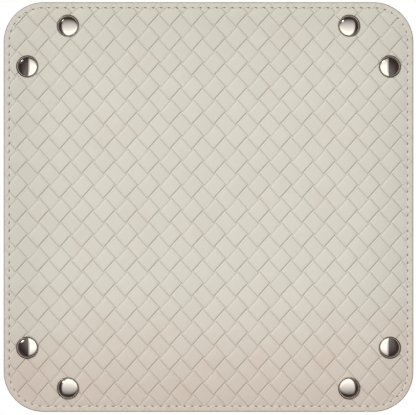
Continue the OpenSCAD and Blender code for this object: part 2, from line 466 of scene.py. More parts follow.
basePlanes = [(1, 0, sheet["creaseLine"]), (-1, 0, sheet["creaseLine"]),
              (0, 1, sheet["creaseLine"]), (0, -1, sheet["creaseLine"])]
stripPlanes = [(0, 1, -sheet["creaseLine"]), (0, -1, foldEnd), (-1, 0, sheet["foldLine"]),
               (1, 0, sheet["foldLine"]), (-1 / rootTwo, 1 / rootTwo, 0), (1 / rootTwo, 1 / rootTwo, 0)]
panelPlanes = [(0, 1, -foldEnd), (-1, 0, creaseStart), (1, 0, sheet["creaseLine"])]
socketPlanes = [(1, 0, -creaseStart), (0, 1, -foldEnd), (-1 / rootTwo, 1 / rootTwo, -earSeam)]
studPlanes = [(1, 0, -foldEnd), (0, 1, -sheet["creaseLine"]), (1 / rootTwo, -1 / rootTwo, earSeam)]
tipPlanes = [(0, 1, -foldEnd), (-1, 0, foldEnd), (1 / rootTwo, -1 / rootTwo, earSeam)]
cornerPlanes = [(1, 0, -sheet["foldLine"]), (-1, 0, foldEnd), (0, 1, -sheet["foldLine"]), (0, -1, foldEnd)]

leather = {}


def plyPiece(name, source, ply, regions, quarterTurns, band=None):
    parts = []
    channelZ = sheet["outerFace"] + margin["channel"]
    if ply == "lining":
        channelZ = sheet["innerFace"] - margin["channel"]
    for number, (planes, edgePlanes) in enumerate(regions):
        part = cutOut(source, f"{name}_{number}", [turned(p, quarterTurns) for p in planes] + edgePlanes)
        closeSlab(part, edgePlanes, channelZ)
        part.data.materials.clear()
        part.data.materials.append(materials[ply + "Weave"])
        parts.append(part)
    if band:
        part = copyPiece(bands[band, ply], name + "_band")
        turnPiece(part, quarterTurns)
        part.data.materials[0] = materials[ply + "Margin"]
        parts.append(part)
    piece = joinPieces(parts, name + "_skin")
    leather[name] = piece
    return piece


def nodeGroup(name, inputs, outputs):
    group = bpy.data.node_groups.new(name, "ShaderNodeTree")
    for label, kind, value in inputs:
        socket = group.interface.new_socket(label, in_out="INPUT", socket_type=kind)
        if value is not None:
            socket.default_value = value
    for label, kind in outputs:
        group.interface.new_socket(label, in_out="OUTPUT", socket_type=kind)
    start = group.nodes.new("NodeGroupInput")
    end = group.nodes.new("NodeGroupOutput")
    return group, start.outputs, end.inputs


def addNode(tree, kind, **settings):
    node = tree.nodes.new(kind)
    for key, value in settings.items():
        setattr(node, key, value)
    return node


def mathNode(tree, operation, first, second=None, clamp=False):
    node = addNode(tree, "ShaderNodeMath", operation=operation, use_clamp=clamp)
    for socket, value in zip(node.inputs, (first, second)):
        if isinstance(value, (int, float)):
            socket.default_value = value
        elif value is not None:
            tree.links.new(value, socket)
    return node.outputs[0]


def mixColour(tree, share, first, second, blend="MIX"):
    node = addNode(tree, "ShaderNodeMix", data_type="RGBA", blend_type=blend)
    for socket, value in zip((node.inputs[0], node.inputs[6], node.inputs[7]), (share, first, second)):
        if hasattr(value, "is_output"):
            tree.links.new(value, socket)
        else:
            socket.default_value = value
    return node.outputs[2]


def noise(tree, place, scale, detail=3.0, roughness=0.5, stretch=None, turn=0.0):
    # noise on a place in metres, which stretch and turn draw out along a direction
    if stretch:
        turnFirst = addNode(tree, "ShaderNodeMapping")
        turnFirst.inputs["Rotation"].default_value = (0, 0, turn)
        tree.links.new(place, turnFirst.inputs["Vector"])
        drawOut = addNode(tree, "ShaderNodeMapping")
        drawOut.inputs["Scale"].default_value = stretch
        tree.links.new(turnFirst.outputs[0], drawOut.inputs["Vector"])
        place = drawOut.outputs[0]
    node = addNode(tree, "ShaderNodeTexNoise")
    node.inputs["Scale"].default_value = scale
    node.inputs["Detail"].default_value = detail
    node.inputs["Roughness"].default_value = roughness
    tree.links.new(place, node.inputs["Vector"])
    return node.outputs[0]


def rampTo(tree, value, low, high, outLow=0.0, outHigh=1.0):
    node = addNode(tree, "ShaderNodeMapRange", clamp=True)
    for label, number in (("From Min", low), ("From Max", high), ("To Min", outLow), ("To Max", outHigh)):
        node.inputs[label].default_value = number
    tree.links.new(value, node.inputs["Value"])
    return node.outputs[0]


def paint(red, green, blue):
    # a colour from its display values, 0 to 255
    linear = []
    for value in (red, green, blue):
        share = value / 255
        linear.append(share / 12.92 if value <= 10 else ((share + 0.055) / 1.055) ** 2.4)
    return (*linear, 1)


def grainGroup():
    # fine leather grain, and streaks along each strip
    group, given, out = nodeGroup("leatherGrain", [
        ("Place", "NodeSocketVector", None), ("Strand", "NodeSocketFloat", 0.0),
        ("Pebble", "NodeSocketFloat", 1.0), ("Streak", "NodeSocketFloat", 1.0)],
        [("Height", "NodeSocketFloat"), ("Dullness", "NodeSocketFloat")])
    lean = math.atan2(weave["halfUp"], weave["halfRight"])
    pebbles = addNode(group, "ShaderNodeTexVoronoi", feature="SMOOTH_F1")
    pebbles.inputs["Scale"].default_value = finish["pebbleScale"]
    pebbles.inputs["Smoothness"].default_value = 0.6
    group.links.new(given["Place"], pebbles.inputs["Vector"])
    pebble = mathNode(group, "MULTIPLY", pebbles.outputs["Distance"], given["Pebble"])
    rising = noise(group, given["Place"], finish["streakScale"], 3, 0.6, (0.12, 1, 1), -lean)
    falling = noise(group, given["Place"], finish["streakScale"], 3, 0.6, (0.12, 1, 1), lean)
    chosen = addNode(group, "ShaderNodeMix", data_type="FLOAT")
    group.links.new(given["Strand"], chosen.inputs[0])
    group.links.new(falling, chosen.inputs[2])
    group.links.new(rising, chosen.inputs[3])
    streak = mathNode(group, "MULTIPLY", chosen.outputs[0], given["Streak"])
    group.links.new(mathNode(group, "ADD", pebble, streak), out["Height"])
    dull = rampTo(group, noise(group, given["Place"], finish["dullScale"], 4), 0.35, 0.65)
    group.links.new(dull, out["Dullness"])
    return group


def toneGroup():
    # the leather's colour: blotches, painted shade that darkens and warms it towards the front, a tone for
    # each crossing, and painted shade in the lines
    group, given, out = nodeGroup("leatherTone", [
        ("Place", "NodeSocketVector", None), ("Leather", "NodeSocketColor", (0.7, 0.7, 0.6, 1)),
        ("Blush", "NodeSocketColor", (0.7, 0.6, 0.6, 1)), ("Line", "NodeSocketColor", (0.4, 0.4, 0.3, 1)),
        ("Line Share", "NodeSocketFloat", 0.0), ("Cell Tone", "NodeSocketFloat", 0.5),
        ("Cell Amount", "NodeSocketFloat", 0.05), ("Blush Amount", "NodeSocketFloat", 0.5)],
        [("Colour", "NodeSocketColor")])
    blotch = rampTo(group, noise(group, given["Place"], finish["blotchScale"], 4, 0.6), 0.50, 0.72)
    fine = rampTo(group, noise(group, given["Place"], finish["fineScale"], 3), 0.35, 0.75, 0.55, 1.0)
    warm = rampTo(group, given["Cell Tone"], 0.3, 1.0, 0.25, 1.0)
    share = mathNode(group, "MULTIPLY", mathNode(group, "MULTIPLY", blotch, fine), warm)
    share = mathNode(group, "MULTIPLY", share, given["Blush Amount"])
    # painted shade: the leather turns darker and warmer towards the front
    reach = addNode(group, "ShaderNodeSeparateXYZ")
    group.links.new(given["Place"], reach.inputs[0])
    front = rampTo(group, reach.outputs["Y"], -0.04, -0.10, 0.0, finish["paintedFrontShade"])
    share = mathNode(group, "ADD", share, front, clamp=True)
    colour = mixColour(group, share, given["Leather"], given["Blush"])
    swing = mathNode(group, "SUBTRACT", given["Cell Tone"], 0.5)
    swing = mathNode(group, "MULTIPLY_ADD", swing, given["Cell Amount"])
    swing.node.inputs[2].default_value = 1.0
    bright = addNode(group, "ShaderNodeVectorMath", operation="SCALE")
    group.links.new(colour, bright.inputs[0])
    group.links.new(swing, bright.inputs["Scale"])
    # the lines between strips get painted shade
    group.links.new(mixColour(group, given["Line Share"], bright.outputs[0], given["Line"]), out["Colour"])
    return group


def latticeGroup():
    # the weave's lines, pressed nearly flat: 1 on a line, 0 between
    group, given, out = nodeGroup("pressedLines", [
        ("Place", "NodeSocketVector", None), ("Width", "NodeSocketFloat", 0.05)],
        [("Line", "NodeSocketFloat")])
    parts = addNode(group, "ShaderNodeSeparateXYZ")
    group.links.new(given["Place"], parts.inputs[0])
    right = mathNode(group, "MULTIPLY", mathNode(group, "SUBTRACT", parts.outputs["X"], weave["phase"][0]),
                     0.5 / weave["halfRight"])
    up = mathNode(group, "MULTIPLY", mathNode(group, "SUBTRACT", parts.outputs["Y"], weave["phase"][1]),
                  0.5 / weave["halfUp"])
    lines = []
    for operation in ("ADD", "SUBTRACT"):
        wave = mathNode(group, "PINGPONG", mathNode(group, operation, up, right), 0.5)
        away = mathNode(group, "DIVIDE", mathNode(group, "SUBTRACT", 0.5, wave), given["Width"])
        lines.append(mathNode(group, "SUBTRACT", 1.0, away, clamp=True))
    group.links.new(mathNode(group, "MAXIMUM", *lines), out["Line"])
    return group


def smudgeGroup():
    # finger marks and fine wear on polished metal
    group, given, out = nodeGroup("metalWear", [
        ("Place", "NodeSocketVector", None), ("Clean", "NodeSocketFloat", 0.05),
        ("Worn", "NodeSocketFloat", 0.2)],
        [("Roughness", "NodeSocketFloat"), ("Height", "NodeSocketFloat")])
    marks = rampTo(group, noise(group, given["Place"], finish["markScale"], 5, 0.62), 0.42, 0.72)
    spread = mathNode(group, "SUBTRACT", given["Worn"], given["Clean"])
    rough = mathNode(group, "MULTIPLY_ADD", marks, spread)
    group.links.new(given["Clean"], rough.node.inputs[2])
    group.links.new(rough, out["Roughness"])
    group.links.new(noise(group, given["Place"], finish["pitScale"], 2), out["Height"])
    return group


def newMaterial(name):
    material = bpy.data.materials.new(name)
    material.use_nodes = True
    tree = material.node_tree
    shader = tree.nodes["Principled BSDF"]
    return material, tree, shader


def placeGroup(tree, group, **links):
    node = addNode(tree, "ShaderNodeGroup", node_tree=group)
    for label, value in links.items():
        socket = node.inputs[label.replace("_", " ")]
        if hasattr(value, "is_output"):
            tree.links.new(value, socket)
        else:
            socket.default_value = value
    return node.outputs


def bumpTo(tree, shader, height, strength, distance):
    bump = addNode(tree, "ShaderNodeBump")
    bump.inputs["Strength"].default_value = strength
    bump.inputs["Distance"].default_value = distance
    tree.links.new(height, bump.inputs["Height"])
    tree.links.new(bump.outputs[0], shader.inputs["Normal"])


finish = {
    # each line colour is painted shade, for the lines between strips and for the margin's pressed lines
    "outer": {"leather": (216, 213, 201), "blush": (212, 197, 185), "line": (150, 144, 130)},
    "lining": {"leather": (212, 207, 195), "blush": (209, 195, 183), "line": (148, 142, 128)},
    "margin": {"leather": (219, 214, 202), "blush": (215, 201, 190), "line": (172, 165, 152)},
    # the edge colour is edge paint, darkened with painted shade on the rounded edge
    "edge": (176, 171, 157),
    "cellAmount": 0.03,
    "blushAmount": 0.8,
    # painted shade: how far the leather turns to the blush colour towards the front
    "paintedFrontShade": 0.75,
    "pressedLine": 0.4,        # darkness of the painted shade in the weave's pressed lines in the margin, which also deepens their bump
    "pressedWidth": 0.045,     # their half width, as a share of the pitch
    # noise cells to a metre
    "pebbleScale": 2600,
    "streakScale": 900,
    "dullScale": 160,
    "blotchScale": 38,
    "fineScale": 240,
    "fuzzScale": 3200,
    "fibreScale": 700,
    "edgeScale": 500,
    "markScale": 420,
    "pitScale": 2600,
    "crispAngle": 27,          # degrees, above which an edge of the leather shows as a line
    "roughness": (0.42, 0.56),
    "grain": 0.00003,
}
grain = grainGroup()
tone = toneGroup()
lattice = latticeGroup()
smudge = smudgeGroup()


def leatherMaterial(name, colours, woven):
    material, tree, shader = newMaterial(name)
    place = addNode(tree, "ShaderNodeUVMap", uv_map="flatSheet").outputs[0]
    strand = addNode(tree, "ShaderNodeAttribute", attribute_name="strand").outputs["Fac"]
    cell = addNode(tree, "ShaderNodeAttribute", attribute_name="cellTone").outputs["Fac"]
    # line: painted shade in the lines between strips, and on the margin in its pressed lines
    line = addNode(tree, "ShaderNodeAttribute", attribute_name="line").outputs["Fac"]
    # on the margin, painted shade darkens the weave's pressed lines
    if not woven:
        pressed = placeGroup(tree, lattice, Place=place, Width=finish["pressedWidth"])["Line"]
        line = mathNode(tree, "MULTIPLY", pressed, finish["pressedLine"])
    colour = placeGroup(tree, tone, Place=place, Leather=paint(*colours["leather"]),
                        Blush=paint(*colours["blush"]), Line=paint(*colours["line"]), Line_Share=line,
                        Cell_Tone=cell if woven else 0.6, Cell_Amount=finish["cellAmount"],
                        Blush_Amount=finish["blushAmount"])["Colour"]
    fine = placeGroup(tree, grain, Place=place, Strand=strand, Pebble=0.6, Streak=0.8 if woven else 0.3)
    height = fine["Height"]
    if not woven:
        height = mathNode(tree, "SUBTRACT", height, line)
    tree.links.new(colour, shader.inputs["Base Color"])
    low, high = finish["roughness"]
    tree.links.new(rampTo(tree, fine["Dullness"], 0, 1, low, high), shader.inputs["Roughness"])
    bumpTo(tree, shader, height, 0.6, finish["grain"])
    shader.inputs["Specular IOR Level"].default_value = 0.35
    return material


def edgeMaterial(name, colour):
    # the painted cut edge: its edge paint, darkened with painted shade on the rounded edge
    material, tree, shader = newMaterial(name)
    place = addNode(tree, "ShaderNodeUVMap", uv_map="flatSheet").outputs[0]
    streaks = noise(tree, place, finish["edgeScale"], 4, 0.6)
    dark = tuple(c * 0.86 for c in colour)
    tree.links.new(mixColour(tree, rampTo(tree, streaks, 0.35, 0.7), paint(*colour), paint(*dark)),
                   shader.inputs["Base Color"])
    shader.inputs["Roughness"].default_value = 0.5
    bumpTo(tree, shader, streaks, 0.4, 0.00003)
    return material


def metalMaterial(name, colour, clean, worn):
    material, tree, shader = newMaterial(name)
    place = addNode(tree, "ShaderNodeTexCoord").outputs["Object"]
    shader.inputs["Base Color"].default_value = paint(*colour)
    shader.inputs["Metallic"].default_value = 1.0
    wear = placeGroup(tree, smudge, Place=place, Clean=clean, Worn=worn)
    tree.links.new(wear["Roughness"], shader.inputs["Roughness"])
    bumpTo(tree, shader, wear["Height"], 0.15, 0.000004)
    return material


def threadMaterial(name, colour, shade, twist):
    material, tree, shader = newMaterial(name)
    place = addNode(tree, "ShaderNodeUVMap", uv_map="flatSheet").outputs[0]
    fuzz = noise(tree, place, finish["fuzzScale"], 3)
    colour = mixColour(tree, rampTo(tree, fuzz, 0.35, 0.7), paint(*colour), paint(*shade))
    tree.links.new(colour, shader.inputs["Base Color"])
    shader.inputs["Roughness"].default_value = 0.75
    shader.inputs["Specular IOR Level"].default_value = 0.25
    bumpTo(tree, shader, fuzz, 0.7, twist)
    return material


materials = {
    "outerWeave": leatherMaterial("woven leather, outer", finish["outer"], True),
    "liningWeave": leatherMaterial("woven leather, lining", finish["lining"], True),
    "outerMargin": leatherMaterial("leather margin, outer", finish["margin"], False),
    "liningMargin": leatherMaterial("leather margin, lining", finish["margin"], False),
    "edgePaintAndShade": edgeMaterial("edge paint and painted shade", finish["edge"]),
    "thread": threadMaterial("waxed thread", (232, 225, 211), (214, 206, 191), 0.00005),
    # the needle holes are dark grains of painted shade
    "needleHoleShade": threadMaterial("needle hole, painted shade", (134, 123, 110), (106, 96, 85), 0.00003),
    "capNickel": metalMaterial("polished nickel", (214, 209, 203), 0.035, 0.12),
    # painted shade: the darker nickel of the caps' rim and groove
    "rimShadeNickel": metalMaterial("rim nickel, painted shade", (142, 132, 124), 0.2, 0.34),
    "nickel": metalMaterial("plain nickel", (198, 196, 192), 0.16, 0.34),
    "springWire": metalMaterial("spring wire", (178, 176, 172), 0.22, 0.38),
}

print("leather: cutting the margin")
cornerBand = marginBand("cornerBand", 0, -creaseStart, True)
wallBand = marginBand("wallBand", -creaseStart, sheet["creaseLine"], False)
socketBand = copyPiece(cornerBand, "socketBand")
edit(socketBand)
cutAcross((-1 / rootTwo, 1 / rootTwo), -earSeam, clear=True, fill=True)
done()
studBand = copyPiece(cornerBand, "studBand")
edit(studBand)
cutAcross((1 / rootTwo, -1 / rootTwo), earSeam, clear=True, fill=True)
done()
bands = {}
for name, band in (("wall", wallBand), ("socket", socketBand), ("stud", studBand)):
    bands[name, "outer"] = band
    bands[name, "lining"] = toInnerPly(band, name + "InnerBand")

roughCut = 0.068               # centre to where a side's block is cut off, short of every bend
nearCut = 0.066
print("leather: cutting the panels")
for ply, field in (("outer", outerField), ("lining", innerField)):
    suffix = "_outer_leather" if ply == "outer" else "_lining_leather"
    base = plyPiece("base" + suffix, field, ply, [(basePlanes, [])], 0)
    cutPocket(base, -1 if ply == "outer" else 1)
    for k, (side, corner) in enumerate(zip(sides, corners)):
        edge = turned((0, -1, edgeLine), k)
        block = cutOut(field, "sideBlock", [turned((0, 1, -roughCut), k)])
        plyPiece("wall_" + side + suffix, block, ply,
                 [(stripPlanes, []), (panelPlanes, [edge])], k, "wall")
        near = cutOut(block, "cornerBlock", [turned((1, 0, -nearCut), k)])
        edges = outline(margin["inset"], k)
        plyPiece("socket_flap_" + corner + suffix, near, ply, [(socketPlanes, edges)], k, "socket")
        studBlock = cutOut(field, "cornerBlock", [turned((1, 0, -roughCut), k), turned((0, 1, -roughCut), k)])
        plyPiece("stud_flap_" + corner + suffix, studBlock, ply,
                 [(studPlanes, edges), (tipPlanes, edges), (cornerPlanes, [])], k, "stud")
        for spare in (block, near, studBlock):
            bpy.data.objects.remove(spare)
    bpy.data.objects.remove(field)
for band in set(bands.values()) | {cornerBand}:
    bpy.data.objects.remove(band)
print("leather:", len(leather), "plies")

# the plane and half width of the bends at the front and its left corner, which are then turned
bends = {
    "wall": ((0, -1, sheet["foldLine"]), sheet["foldBend"]),
    "socket": ((-1, 0, sheet["creaseLine"]), sheet["creaseBend"]),
    "stud": ((-1 / rootTwo, 1 / rootTwo, 0), sheet["earBend"]),
}


def blendAcross(piece):
    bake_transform(piece)


def bodiesOf(kind, k):
    side, corner = sides[k], corners[k]
    if kind == "wall":
        return "base", "wall_" + side
    if kind == "socket":
        return "wall_" + side, "socket_flap_" + corner
    return "socket_flap_" + corner, "stud_flap_" + corner


for ply in ("outer", "lining"):
    suffix = "_" + ply + "_leather"
    slotName = "woven_leather" if ply == "outer" else "lining_leather"
    base = leather["base" + suffix]
    drawPlace(base)
    smooth(base, finish["crispAngle"], True)
    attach(base, "base")
    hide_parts("base" + suffix)
    for k in range(4):
        for kind in ("wall", "socket", "stud"):
            bodyFrom, bodyTo = bodiesOf(kind, k)
            piece = leather[bodyTo + suffix]
            plane, halfWidth = bends[kind]
            x, y, reach = turned(plane, k)
            bendCuts(piece, (x, y), reach, halfWidth)
            drawPlace(piece)
            smooth(piece, finish["crispAngle"], True)
            blendAcross(piece)
            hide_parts(bodyTo + suffix)


stitching = {
    "inset": 0.0031,
    "wallCount": 32,
    "flapCount": 8,
    "gap": (0.00015, 0.00105),   # from a crease to a flap's first stitch: socket flap, stud flap
    "threadSize": (0.0029, 0.00078, 0.00056),
    "threadSlant": -20,          # degrees from the line of stitches
    "holeSize": (0.0019, 0.0008, 0.00022),
    "holeSlant": 26,
}


def smallGrain(name, size, segments, rings, material):
    bpy.ops.mesh.primitive_uv_sphere_add(segments=segments, ring_count=rings, radius=0.5, location=(0, 0, 0))
    grainPiece = newPiece(name)
    grainPiece.rotation_euler = (0, math.pi / 2, 0)
    applyPlace(grainPiece)
    edit(grainPiece)
    pick(lambda v: abs(v.co.x) < 0.4)
    bpy.ops.transform.resize(value=(1.15, 1, 1), center_override=(0, 0, 0))
    done()
    grainPiece.scale = size
    applyPlace(grainPiece)
    grainPiece.data.materials.append(material)
    activate(grainPiece)
    bpy.ops.object.shade_smooth()
    return grainPiece


def stitchPlaces(k):
    # (x, y, heading, piece it belongs to) of the stitches of the front edge and its left corner, turned
    half, radius, line = sheet["half"], sheet["cornerRadius"], stitching["inset"]
    crease = sheet["creaseLine"]
    places = []
    pitch = 2 * crease / stitching["wallCount"]
    for i in range(stitching["wallCount"]):
        x = crease - (i + 0.5) * pitch
        kind = "socket" if x < -creaseStart + 0.0015 else "wall"
        places.append((x, line - half, math.pi, kind))
    straight = half - radius - crease
    arc = radius - line
    run = straight + arc * math.pi / 4
    for stud in (False, True):
        start = stitching["gap"][stud]
        step = (run - start) / stitching["flapCount"]
        for i in range(stitching["flapCount"]):
            s = start + (i + 0.5) * step
            if s < straight:
                x, y, heading = -crease - s, line - half, math.pi
            else:
                angle = 1.5 * math.pi - (s - straight) / arc
                x = radius - half + arc * math.cos(angle)
                y = radius - half + arc * math.sin(angle)
                heading = angle - math.pi / 2
            if stud:
                x, y, heading = y, x, math.pi / 2 - heading + math.pi
            kind = "stud" if stud or (x - y) / rootTwo < earSeam + 0.001 else "socket"
            places.append((x, y, heading, kind))
    turn = k * math.pi / 2
    c, s = round(math.cos(turn)), round(math.sin(turn))
    return [(c * x - s * y, s * x + c * y, heading + turn, kind) for x, y, heading, kind in places]


thread = smallGrain("thread", stitching["threadSize"], 10, 8, materials["thread"])
# painted shade: a dark grain in each needle hole
holeShade = smallGrain("needleHoleShade", stitching["holeSize"], 8, 6, materials["needleHoleShade"])
for k in range(4):
    groups = {"wall": [], "socket": [], "stud": []}
    for x, y, heading, kind in stitchPlaces(k):
        for lower in (True, False):
            z = sheet["outerFace"] + margin["channel"] if lower else sheet["innerFace"] - margin["channel"]
            sign = 1 if lower else -1
            step = sheet["creaseLine"] / stitching["wallCount"]
            for source, slant, ahead in (
                    (thread, stitching["threadSlant"], 0), (holeShade, stitching["holeSlant"], step)):
                part = copyPiece(source, "stitch")
                dx, dy = math.cos(heading) * ahead, math.sin(heading) * ahead
                part.location = (x + dx, y + dy, z)
                part.rotation_euler = (0, 0, heading + sign * math.radians(slant))
                groups[kind].append(part)
    for kind, parts in groups.items():
        bodyFrom, bodyTo = bodiesOf(kind, k)
        piece = joinPieces(parts, bodyTo + "_stitches")
        applyPlace(piece)
        drawPlace(piece)
        blendAcross(piece)
        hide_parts(bodyTo + "_stitching")
bpy.data.objects.remove(thread)
bpy.data.objects.remove(holeShade)
print("stitching: sewn")


snap = {
    "dome": (0.00572, 0.00195),  # radius and height of the dome
    "rim": (0.00600, 0.00205, 0.00025),  # middle of the rolled rim: radius, height, and its own radius
    "post": 0.0017,
    "postHole": 0.0013,
    "flare": 0.00195,
    "segments": 56,
}


def lathe(name, rings, capStart, capEnd, material, angle=40):
    # a turned piece about the origin, drawn ring by ring as (radius, height)
    radius, height = rings[0]
    bpy.ops.mesh.primitive_circle_add(vertices=snap["segments"], radius=radius, location=(0, 0, height),
                                      fill_type="TRIFAN" if capStart else "NOTHING")
    piece = newPiece(name)
    applyPlace(piece)
    edit(piece)
    pick(lambda e: e.is_boundary or e.is_wire, "edges")
    for (radius, height), (nextRadius, nextHeight) in zip(rings, rings[1:]):
        bpy.ops.mesh.extrude_edges_move(TRANSFORM_OT_translate={"value": (0, 0, nextHeight - height)})
        share = nextRadius / radius
        bpy.ops.transform.resize(value=(share, share, 1), center_override=(0, 0, nextHeight))
    if capEnd:
        bpy.ops.mesh.edge_face_add()
    bpy.ops.mesh.select_all(action="SELECT")
    bpy.ops.mesh.remove_doubles(threshold=1e-7)
    bpy.ops.mesh.normals_make_consistent(inside=False)
    done()
    piece.data.materials.append(material)
    smooth(piece, angle)
    return piece


def paintRimShade(piece):
    # the rolled rim and the groove inside it are dull, and painted darker than the dome as shade
    piece.data.materials.append(materials["rimShadeNickel"])
    piece.active_material_index = 1
    inner = snap["rim"][0] - snap["rim"][2]
    edit(piece)
    pick(lambda f: f.calc_center_median().xy.length > inner - 0.0001 and f.normal.z < 0.9, "faces")
    bpy.ops.object.material_slot_assign()
    done()


def capRings(postTop, flared):
    radius, rise = snap["dome"]
    rings = []
    for step in range(1, 17):
        angle = math.radians(5.3 * step)
        rings.append((radius * math.sin(angle), rise * (1 - math.cos(angle))))
    ringRadius, ringHeight, wire = snap["rim"]
    rings.append((ringRadius - wire, ringHeight + 0.0001))
    for step in range(9):
        angle = math.radians(190 + 22 * step)
        rings.append((ringRadius + wire * math.cos(angle), ringHeight + wire * math.sin(angle)))
    rings += [(0.0061, sheet["outerFace"]), (0.0024, sheet["outerFace"]), (snap["post"], sheet["outerFace"])]
    if flared:
        rings += [(snap["post"], postTop - 0.00025), (snap["flare"] - 0.0001, postTop - 0.00006),
                  (snap["flare"] - 0.0001, postTop), (snap["postHole"] + 0.0002, postTop - 0.00002)]
    else:
        rings += [(snap["post"], postTop - 0.0001), (snap["post"] - 0.0001, postTop)]
    rings += [(snap["postHole"], postTop - 0.0002), (snap["postHole"], sheet["outerFace"] + 0.0004)]
    return rings


face = sheet["innerFace"]
socketRings = [(r / 1000, face + z / 1000) for r, z in (
    (5.45, 0), (5.68, 0.08), (5.75, 0.25), (5.75, 1.05), (5.7, 1.32), (5.5, 1.58), (5.2, 1.7), (4.7, 1.72),
    (4.3, 1.64), (3.75, 1.66), (3.5, 1.8), (3.42, 2.1), (3.34, 2.3), (3.2, 2.4), (3.05, 2.36), (2.96, 2.22),
    (2.95, 1.55), (3.1, 1.4), (4.9, 1.35), (5.3, 1.2), (5.4, 0.9), (5.4, 0.5), (5.25, 0.36), (2.05, 0.35),
    (1.82, 0.12), (1.8, 0), (5.45, 0))]
studRings = [(r / 1000, face + z / 1000) for r, z in (
    (4.95, 0), (5.14, 0.08), (5.2, 0.25), (5.16, 0.45), (5.0, 0.57), (4.6, 0.6), (3.1, 0.5), (2.6, 0.52),
    (2.25, 0.7), (2.1, 1.0), (2.12, 1.25), (2.3, 1.5), (2.4, 1.8), (2.36, 2.1), (2.2, 2.4), (1.98, 2.62),
    (1.7, 2.74), (1.5, 2.72), (1.36, 2.6), (1.3, 2.4), (1.3, 2.05), (1.8, 2.05), (1.8, 0), (4.95, 0))]


def springWire(name):
    # the hairpin of round wire inside a socket
    leg, ring, wire = 0.0029, 0.0048, 0.0003
    reach = math.sqrt(ring ** 2 - leg ** 2)
    arc = [math.atan2(reach, leg) + t / 8 * (math.pi - 2 * math.atan2(reach, leg)) for t in range(9)]
    points = [(leg, -reach, 0), (leg, 0, 0), (leg, reach * 0.8, 0)]
    points += [(ring * math.cos(a), ring * math.sin(a), 0) for a in arc]
    points += [(-leg, reach * 0.8, 0), (-leg, 0, 0), (-leg, -reach, 0)]
    curve = bpy.data.curves.new(name, "CURVE")
    curve.dimensions = "3D"
    line = curve.splines.new("NURBS")
    line.points.add(len(points) - 1)
    for point, place in zip(line.points, points):
        point.co = (*place, 1)
    line.order_u = 3
    line.use_endpoint_u = True
    line.resolution_u = 3
    curve.bevel_depth = wire
    curve.bevel_resolution = 3
    curve.use_fill_caps = True
    piece = bpy.data.objects.new(name, curve)
    bpy.context.scene.collection.objects.link(piece)
    activate(piece)
    bpy.ops.object.convert(target="MESH")
    piece = newPiece(name)
    piece.data.materials.append(materials["springWire"])
    smooth(piece, 50)
    return piece


socketPostTop = sheet["innerFace"] + 0.00035
studPostTop = sheet["innerFace"] + 0.00195
turnedPieces = {
    "socketCap": lathe("socketCap", capRings(socketPostTop, True), True, True, materials["capNickel"]),
    "studCap": lathe("studCap", capRings(studPostTop, False), True, True, materials["capNickel"]),
    "socket": lathe("socket", socketRings, False, False, materials["nickel"]),
    "stud": lathe("stud", studRings, False, False, materials["nickel"]),
    "spring": springWire("spring"),
}
for kind in ("socketCap", "studCap"):
    paintRimShade(turnedPieces[kind])
turnedPieces["spring"].location = (0, 0, sheet["innerFace"] + 0.00085)
applyPlace(turnedPieces["spring"])

for k, corner in enumerate(corners):
    socketFlap, studFlap = "socket_flap_" + corner, "stud_flap_" + corner
    fitted = (
        ("socketCap", socketFlap, socketFlap + "_cap", "nickel_cap"),
        ("studCap", studFlap, studFlap + "_cap", "nickel_cap"),
        ("socket", socketFlap, "snap_socket_" + corner, "nickel"),
        ("stud", studFlap, "snap_stud_" + corner, "nickel"),
        ("spring", socketFlap, "snap_spring_" + corner, "spring_wire"),
    )
    for kind, body, node, slotName in fitted:
        piece = copyPiece(turnedPieces[kind], node + "_turned")
        low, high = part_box(node)
        middle = (low + high) / 2
        if kind == "spring":
            low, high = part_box("snap_socket_" + corner)
            middle = (low + high) / 2
            piece.rotation_euler = (0, 0, k * math.pi / 2)
        piece.location = (middle.x, middle.y, 0)
        applyPlace(piece)
        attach(piece, body)
        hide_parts(node)
for piece in turnedPieces.values():
    bpy.data.objects.remove(piece)
print("snaps: fitted")


def boardMaterial():
    material, tree, shader = newMaterial("fibreboard")
    place = addNode(tree, "ShaderNodeTexCoord").outputs["Object"]
    fibre = noise(tree, place, finish["fibreScale"], 5, 0.65)
    colour = mixColour(tree, rampTo(tree, fibre, 0.35, 0.7), paint(141, 122, 94), paint(120, 102, 77))
    tree.links.new(colour, shader.inputs["Base Color"])
    shader.inputs["Roughness"].default_value = 0.85
    bumpTo(tree, shader, fibre, 0.5, 0.00005)
    return material


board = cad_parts["base_board"]
board.data.materials.clear()
board.data.materials.append(boardMaterial())

bead = {"radius": 0.0011, "start": foldEnd + 0.0012, "end": 0.1128, "rounding": 0.0004}
for k, corner in enumerate(corners):
    length = bead["end"] - bead["start"]
    bpy.ops.mesh.primitive_cylinder_add(
        vertices=16, radius=bead["radius"], depth=length,
        location=(-(bead["start"] + bead["end"]) / 2, -sheet["creaseLine"], sheet["plyLine"]),
        rotation=(0, math.pi / 2, 0))
    piece = newPiece("crease_bead_" + corner)
    applyPlace(piece)
    edit(piece)
    pick(lambda e: abs(e.verts[0].co.x - e.verts[1].co.x) < 1e-6, "edges")
    bpy.ops.mesh.bevel(offset=bead["rounding"], segments=2)
    done()
    turnPiece(piece, k)
    piece.data.materials.append(materials["liningMargin"])
    drawPlace(piece)
    smooth(piece, 50)
    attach(piece, "wall_" + sides[(k + 3) % 4])
print("beads: laid in the open creases")


studio = {
    "lens": 150,
    "width": 0.2334,           # of the view, at the sheet
    "offset": 0.00028,
    "worldLight": 0.5,
    "keyStrength": 1.86,
    "keyDirection": (-0.52, -0.52, 0.68),
    "topStrength": 1.5,
    "topDirection": (0.35, 0.45, -0.82),
}

